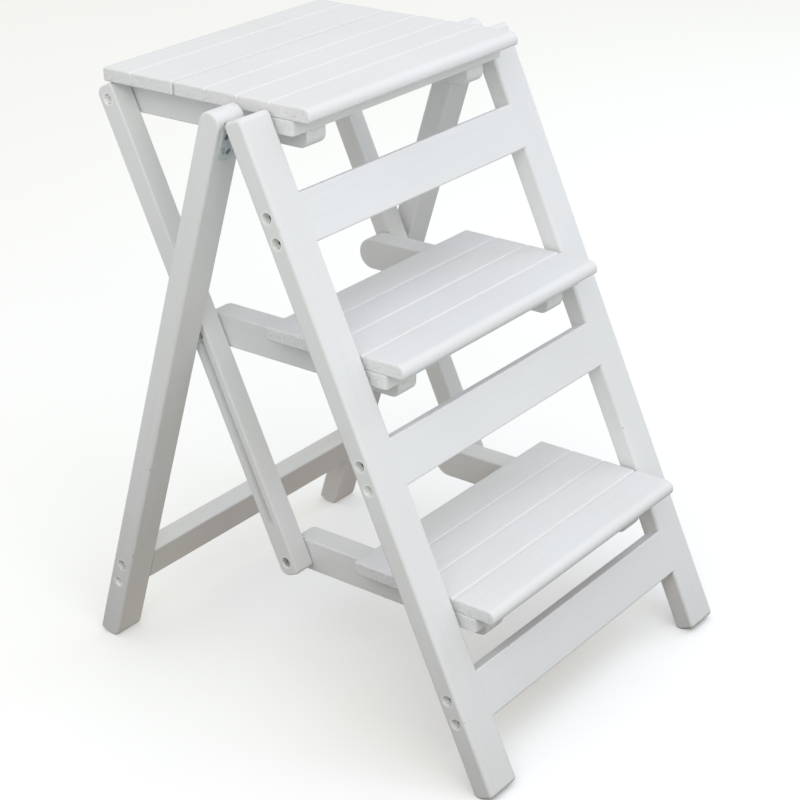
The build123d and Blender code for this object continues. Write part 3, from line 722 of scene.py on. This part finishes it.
# turns a profile about the z axis; the thread is a ridge that climbs as it goes round
def turnedShape(tree, profile, segments, thread):
    spot = addNode(tree, "GeometryNodeInputPosition").outputs[0]
    profile, keptSpot = keepOnPoints(tree, profile, spot)
    wheel = addNode(
        tree, "GeometryNodeCurvePrimitiveCircle", {"Resolution": segments}, mode="RADIUS",
    ).outputs[0]
    index = addNode(tree, "GeometryNodeInputIndex").outputs[0]
    wheel, keptIndex = keepOnPoints(tree, wheel, index, "FLOAT")
    shape = addNode(
        tree, "GeometryNodeCurveToMesh", {"Curve": wheel, "Profile Curve": profile}).outputs[0]
    share = mathNode(tree, "DIVIDE", keptIndex, float(segments))
    angle = times(tree, share, 2 * pi)
    radius, depth = splitVector(tree, keptSpot)[:2]
    climb = mathNode(tree, "SUBTRACT", mathNode(tree, "DIVIDE", depth, thread["pitch"]), share)
    ridge = times(tree, mathNode(tree, "PINGPONG", climb, 0.5), 2.0)
    valley = mathNode(tree, "SUBTRACT", 1.0, mathNode(tree, "POWER", ridge, threadSharpness))
    fade = rangeNode(tree, depth, (thread["from"], thread["full"]), (0.0, thread["depth"]))
    cut = mathNode(tree, "SUBTRACT", radius, times(tree, valley, fade))
    radius = mathNode(tree, "MAXIMUM", cut, times(tree, radius, thread["core"]))
    x = times(tree, radius, mathNode(tree, "COSINE", angle))
    y = times(tree, radius, mathNode(tree, "SINE", angle))
    shape = addNode(
        tree, "GeometryNodeSetPosition",
        {"Geometry": shape, "Position": joinVector(tree, x, y, depth)}).outputs[0]
    closed = addNode(tree, "GeometryNodeMergeByDistance", {0: shape, "Distance": weld}).outputs[0]
    return addNode(tree, "GeometryNodeFlipFaces", {0: closed}).outputs[0]    # now outward


def cutAway(tree, solid, cutters):
    for cutter in cutters:
        solid = addNode(
            tree, "GeometryNodeMeshBoolean", {0: solid, 1: cutter}, operation="DIFFERENCE",
        ).outputs[0]
    return solid


# copies of one fastener at the seat points, each turned as its last tightening left it
def setAtSeats(tree, seats, fastener, seed):
    axis = addNode(
        tree, "GeometryNodeInputNamedAttribute", {"Name": "axis"}, data_type="FLOAT_VECTOR")
    upright = addNode(
        tree, "FunctionNodeAlignRotationToVector", {"Vector": axis.outputs[0]}, axis="Z")
    chance = addNode(
        tree, "FunctionNodeRandomValue", {2: 0.0, 3: pi, "Seed": seed}, data_type="FLOAT")
    spin = addNode(
        tree, "FunctionNodeAxisAngleToRotation", {0: (0.0, 0.0, 1.0), 1: chance.outputs[1]})
    turned = addNode(
        tree, "FunctionNodeRotateRotation", {0: upright.outputs[0], 1: spin.outputs[0]},
        rotation_space="LOCAL")
    return addNode(
        tree, "GeometryNodeInstanceOnPoints",
        {"Points": seats, "Instance": fastener, "Rotation": turned.outputs[0]}).outputs[0]


crossScrewLook = {
    "segments": 24,
    "spacing": 0.0006,
    "panCrown": (                         # shares of the head's radius and height
        (0.45, 0.04), (0.78, 0.18), (0.95, 0.45), (1.0, 0.75), (1.0, 1.0),
    ),
    "sunkCrown": ((0.96, 0.0), (1.0, 0.12)),
    "recessReach": 0.62,                  # of the head's radius
    "recessBlade": 0.30,                  # width of a blade against its reach
    "recessDepth": 0.0016,
    "recessMouth": 1.55,                  # size of a blade at its top and floor, of its reach
    "recessFloor": 0.55,
    "recessLift": 0.0004,                 # start of the cut above the crown
    "secondBlade": 0.95,                  # its depth against the first's, so the floors differ
    "threadFrom": 0.3,                    # share of the length
    "threadRunIn": 0.002,
    "threadPitch": 0.0021,
    "threadDepth": 0.0006,
    "threadCore": 0.5,                    # least share of the radius left under the thread
    "tipShoulder": (0.35, 0.2),           # shares of the shank's radius and of the tip's length
    "seed": 4,
}


# depths run from the crown of the head to the tip
def crossScrewTree(name, crown):
    look = crossScrewLook
    tree, size = newShapeTree(name, {
        "Head Radius": 0.004, "Head Height": 0.003, "Shank Radius": 0.00225, "Length": 0.054,
        "Tip": 0.004, "Spacing": look["spacing"], "Seed": look["seed"],
    }, ["Steel", "Paint"])
    head, tall, length = size["Head Radius"], size["Head Height"], size["Length"]
    shank, tip = size["Shank Radius"], size["Tip"]
    tipRadius, tipBack = look["tipShoulder"]
    places = [(0.0, 0.0)]
    places += [(times(tree, head, across), times(tree, tall, down)) for across, down in crown]
    places += [
        (shank, tall), (shank, mathNode(tree, "SUBTRACT", length, tip)),
        (times(tree, shank, tipRadius), mathNode(tree, "MULTIPLY_ADD", tip, -tipBack, length)),
        (0.0, length),
    ]
    threadStart = times(tree, length, look["threadFrom"])
    thread = {
        "pitch": look["threadPitch"], "depth": look["threadDepth"], "core": look["threadCore"],
        "from": threadStart, "full": mathNode(tree, "ADD", threadStart, look["threadRunIn"]),
    }
    profile = profileCurve(tree, places, size["Spacing"])
    body = turnedShape(tree, profile, look["segments"], thread)

    reach = times(tree, head, look["recessReach"])
    blade = addNode(tree, "GeometryNodeMeshCone", {
        "Vertices": 4, "Radius Bottom": times(tree, reach, look["recessMouth"]),
        "Radius Top": times(tree, reach, look["recessFloor"]),
        "Depth": look["recessDepth"] + look["recessLift"],
    }).outputs[0]
    square = addNode(tree, "GeometryNodeTransform", {
        0: blade, "Translation": (0.0, 0.0, -look["recessLift"]), "Rotation": (0.0, 0.0, pi / 4),
    }).outputs[0]
    thin = look["recessBlade"]
    cutters = [
        addNode(tree, "GeometryNodeTransform", {0: square, "Scale": scale}).outputs[0]
        for scale in ((1.0, thin, 1.0), (thin, 1.0, look["secondBlade"]))
    ]
    screw = crispEdges(tree, cutAway(tree, body, cutters))
    screws = setAtSeats(tree, size["Geometry"], screw, size["Seed"])
    finishTree(tree, screws, size["Steel"], size["Paint"])
    return tree


socketBoltLook = {
    "segments": 28,
    "spacing": 0.0005,
    "headHeight": 0.0035,
    "headChamfer": 0.0005,
    "chamferCrown": 0.3,                  # share of the chamfer, which makes it a little round
    "shoulderRadius": 0.0040,
    "threadRadius": 0.0030,
    "threadLength": 0.0200,
    "threadRunIn": 0.0005,
    "threadPitch": 0.0010,
    "threadDepth": 0.0004,
    "threadCore": 0.8,
    "tipLength": 0.001,
    "tipRadius": 0.6,                     # share of the thread's radius
    "socketAcross": 0.0050,
    "socketDepth": 0.0022,
    "seed": 9,
}


def socketBoltTree():
    look = socketBoltLook
    tree, size = newShapeTree("socketBolt", {
        "Head Radius": 0.0055, "Length": 0.045, "Spacing": look["spacing"], "Seed": look["seed"],
    }, ["Steel", "Paint"])
    head, length = size["Head Radius"], size["Length"]
    chamfer, crown, tall = look["headChamfer"], look["chamferCrown"], look["headHeight"]
    shoulder, threaded = look["shoulderRadius"], look["threadRadius"]
    shoulderEnd = mathNode(tree, "SUBTRACT", length, look["threadLength"])
    places = [
        (0.0, 0.0), (mathNode(tree, "SUBTRACT", head, chamfer), 0.0),
        (mathNode(tree, "MULTIPLY_ADD", chamfer, -crown, head), crown * chamfer), (head, chamfer),
        (head, tall), (shoulder, tall), (shoulder, shoulderEnd), (threaded, shoulderEnd),
        (threaded, mathNode(tree, "SUBTRACT", length, look["tipLength"])),
        (look["tipRadius"] * threaded, length), (0.0, length),
    ]
    thread = {
        "pitch": look["threadPitch"], "depth": look["threadDepth"], "core": look["threadCore"],
        "from": shoulderEnd, "full": mathNode(tree, "ADD", shoulderEnd, look["threadRunIn"]),
    }
    profile = profileCurve(tree, places, size["Spacing"])
    body = turnedShape(tree, profile, look["segments"], thread)
    socket = addNode(tree, "GeometryNodeMeshCylinder", {
        "Vertices": 6, "Radius": look["socketAcross"] / 2 / cos(pi / 6),
        "Depth": 2 * look["socketDepth"],
    }).outputs[0]
    bolt = crispEdges(tree, cutAway(tree, body, [socket]))
    bolts = setAtSeats(tree, size["Geometry"], bolt, size["Seed"])
    finishTree(tree, bolts, size["Steel"], size["Paint"])
    return tree


screwKinds = {
    "frame": {
        "head": "pan", "steel": "darkScrew",
        "sizes": {"Head Height": 0.0030, "Shank Radius": 0.00225, "Tip": 0.004},
    },
    "hinge": {
        "head": "sunk", "steel": "hingeScrew",
        "sizes": {"Head Height": 0.0018, "Shank Radius": 0.0018, "Tip": 0.003},
    },
    "board": {
        "head": "pan", "steel": "zincPlate",
        "sizes": {"Head Height": 0.0026, "Shank Radius": 0.0020, "Tip": 0.003},
    },
}

# painted says which of a set are painted over, counted from left to right and front to back
screwSets = {
    "rail_screws": {"kind": "frame", "painted": (2, 6, 8, 9)},
    "crossbar_screws": {"kind": "frame", "painted": (1, 2)},
    "front_hinge_screws": {"kind": "hinge", "painted": ()},
    "rear_hinge_screws": {"kind": "hinge", "painted": ()},
    "lower_step_board_screws": {"kind": "board", "painted": ()},
    "middle_step_board_screws": {"kind": "board", "painted": ()},
    "platform_board_screws": {"kind": "board", "painted": ()},
}
boltSets = {
    "lower_step_link_bolts": {"steel": "hingeScrew", "painted": ()},
    "middle_step_link_bolts": {"steel": "zincPlate", "painted": (0, 1)},
    "platform_link_bolts": {"steel": "zincPlate", "painted": (0, 1)},
}


def makeFasteners(node, tree, sizes, steel, painted):
    rows = fastenerRows(node)
    values = {
        "Head Radius": rows[0]["head"], "Length": rows[0]["length"],
        "Steel": finishes[steel], "Paint": finishes["heldPaint"], **sizes,
    }
    seats = seatPoints(node + "Seats", rows, painted)
    standFor(shapeFromTree(node + "_cut", tree, values, seats), node)


def makeScrews():
    look = crossScrewLook
    trees = {
        "sunk": crossScrewTree("sunkScrew", look["sunkCrown"]),
        "pan": crossScrewTree("panScrew", look["panCrown"]),
    }
    for node, screws in screwSets.items():
        kind = screwKinds[screws["kind"]]
        sizes = {**kind["sizes"], "Spacing": look["spacing"]}
        makeFasteners(node, trees[kind["head"]], sizes, kind["steel"], screws["painted"])
    print("ladder: screws done")


def makeBolts():
    tree = socketBoltTree()
    sizes = {"Spacing": socketBoltLook["spacing"]}
    for node, bolts in boltSets.items():
        makeFasteners(node, tree, sizes, bolts["steel"], bolts["painted"])
    print("ladder: link bolts done")


makeScrews()
makeBolts()

floorLook = {
    "colour": (0.95, 0.95, 0.95),
    "shade": 0.985,                       # of the colour in its faint clouds
    "cloudNoise": (1.5, 2.0),
    "roughness": 0.9,
    "specular": 0.1,
    "glow": 0.12,
    "size": 9.0,
}


def flatSheet(name, height, material):
    half = floorLook["size"] / 2
    mesh = bpy.data.meshes.new(name)
    corners = ((-half, -half), (half, -half), (half, half), (-half, half))
    mesh.from_pydata([(x, y, height) for x, y in corners], [], [(0, 1, 2, 3)])
    mesh.materials.append(material)
    sheet = bpy.data.objects.new(name, mesh)
    scene.collection.objects.link(sheet)
    return sheet


# the floor that is seen lights nothing: the glow below it does that
def makeFloor():
    material, tree, shader = newMaterial("floorPaint")
    place = addNode(tree, "ShaderNodeTexCoord").outputs["Object"]
    cloud = noiseNode(tree, place, *floorLook["cloudNoise"])
    pale = floorLook["colour"]
    shaded = tuple(value * floorLook["shade"] for value in pale)
    setInputs(tree, shader, {
        "Base Color": mixColours(tree, cloud, pale, shaded),
        "Roughness": floorLook["roughness"],
        "Specular IOR Level": floorLook["specular"],
        "Emission Color": (1.0, 1.0, 1.0, 1.0),
        "Emission Strength": floorLook["glow"],
    })
    floor = flatSheet("studioFloor", 0.0, material)
    floor.visible_diffuse = False
    floor.visible_glossy = False
    floor.visible_shadow = False


makeFloor()

softboxLook = {"aim": (0.0, 0.0, 0.3), "side": 1.4}
softboxes = {
    "frontLeft": {"place": (-1.3, -2.4, 1.8), "watts": 12.4, "colour": (0.93, 1.0, 0.785)},
    "highLeft": {"place": (-2.0, -0.8, 2.2), "watts": 13.2, "colour": (0.893, 0.908, 1.0)},
    "highRight": {"place": (2.4, -0.6, 2.0), "watts": 12.0, "colour": (0.63, 0.775, 1.0)},
    "overFront": {"place": (0.1, -1.6, 2.4), "watts": 8.85, "colour": (0.583, 0.624, 1.0)},
}


def makeSoftbox(name, place, watts, colour):
    light = bpy.data.lights.new(name, "AREA")
    light.shape = "SQUARE"
    light.size = softboxLook["side"]
    light.energy = watts
    light.color = colour
    lamp = bpy.data.objects.new(name, light)
    lamp.location = place
    lamp.rotation_mode = "QUATERNION"
    aim = Vector(softboxLook["aim"]) - Vector(place)
    lamp.rotation_quaternion = aim.to_track_quat("-Z", "Y")
    scene.collection.objects.link(lamp)


for name, softbox in softboxes.items():
    makeSoftbox(name, **softbox)

roomLight = {
    "above": (0.787, 0.794, 0.742),
    "level": (0.800, 0.784, 0.774),
    "upSpan": (0.0, 0.8),                 # of the direction's height, from level to above
}
glowLook = {
    "near": (0.282, 0.235, 0.194),        # floor's own light under the ladder
    "shaded": (0.0, 0.0, 0.0),            # in the ring where the ladder shades it
    "far": (0.470, 0.507, 0.497),
    "middle": (0.0, 0.05, 0.0),
    "shadeFrom": 0.30,
    "shadeTo": 0.70,
    "blur": 0.04,                         # metres to each side of the ring's borders
    "height": -0.002,
}


def makeRoom():
    world = bpy.data.worlds.new("room")
    scene.world = world
    world.use_nodes = True
    tree = world.node_tree
    tree.nodes.clear()
    height = splitVector(tree, addNode(tree, "ShaderNodeTexCoord").outputs["Generated"])[2]
    up = rangeNode(tree, height, roomLight["upSpan"], smooth=True)
    colour = mixColours(tree, up, roomLight["level"], roomLight["above"])
    light = addNode(tree, "ShaderNodeBackground", {"Color": colour})
    addNode(tree, "ShaderNodeOutputWorld", {0: light.outputs[0]})


# a second floor that only lights the ladder from below: dim where the ladder would shade it
def makeFloorGlow():
    look = glowLook
    material, tree, light = newMaterial("floorGlow", "ShaderNodeEmission")
    place = addNode(tree, "ShaderNodeTexCoord").outputs["Object"]
    away = vectorNode(tree, "DISTANCE", place, look["middle"])
    colour = look["near"]
    for border, beyond in (("shadeFrom", "shaded"), ("shadeTo", "far")):
        span = (look[border] - look["blur"], look[border] + look["blur"])
        colour = mixColours(tree, rangeNode(tree, away, span, smooth=True), colour, look[beyond])
    setInputs(tree, light, {"Color": colour})
    glow = flatSheet("floorGlow", look["height"], material)
    glow.visible_camera = False


makeRoom()
makeFloorGlow()

cameraLook = {
    "target": (-0.1239, -0.1005, 0.3634),
    "distance": 1.9459,
    "azimuth": radians(-51.28),
    "elevation": radians(25.20),
    "roll": radians(-1.60),
    "lens": 86.65,
    "sensor": 36.0,
}


def makeCamera():
    look = cameraLook
    side, height, turn = look["azimuth"], look["elevation"], look["roll"]
    back = Vector((sin(side) * cos(height), -cos(side) * cos(height), sin(height)))
    right = (-back).cross(Vector((0, 0, 1))).normalized()
    up = right.cross(-back)
    rolledRight = right * cos(turn) + up * sin(turn)
    rolledUp = up * cos(turn) - right * sin(turn)
    axes = Matrix((rolledRight, rolledUp, back)).transposed().to_4x4()
    place = Matrix.Translation(Vector(look["target"]) + back * look["distance"])
    data = bpy.data.cameras.new("studioCamera")
    data.lens = look["lens"]
    data.sensor_width = look["sensor"]
    camera = bpy.data.objects.new("studioCamera", data)
    camera.matrix_world = place @ axes
    scene.collection.objects.link(camera)
    scene.camera = camera


makeCamera()
scene.view_settings.view_transform = "Standard"
print("ladder: studio and camera set")
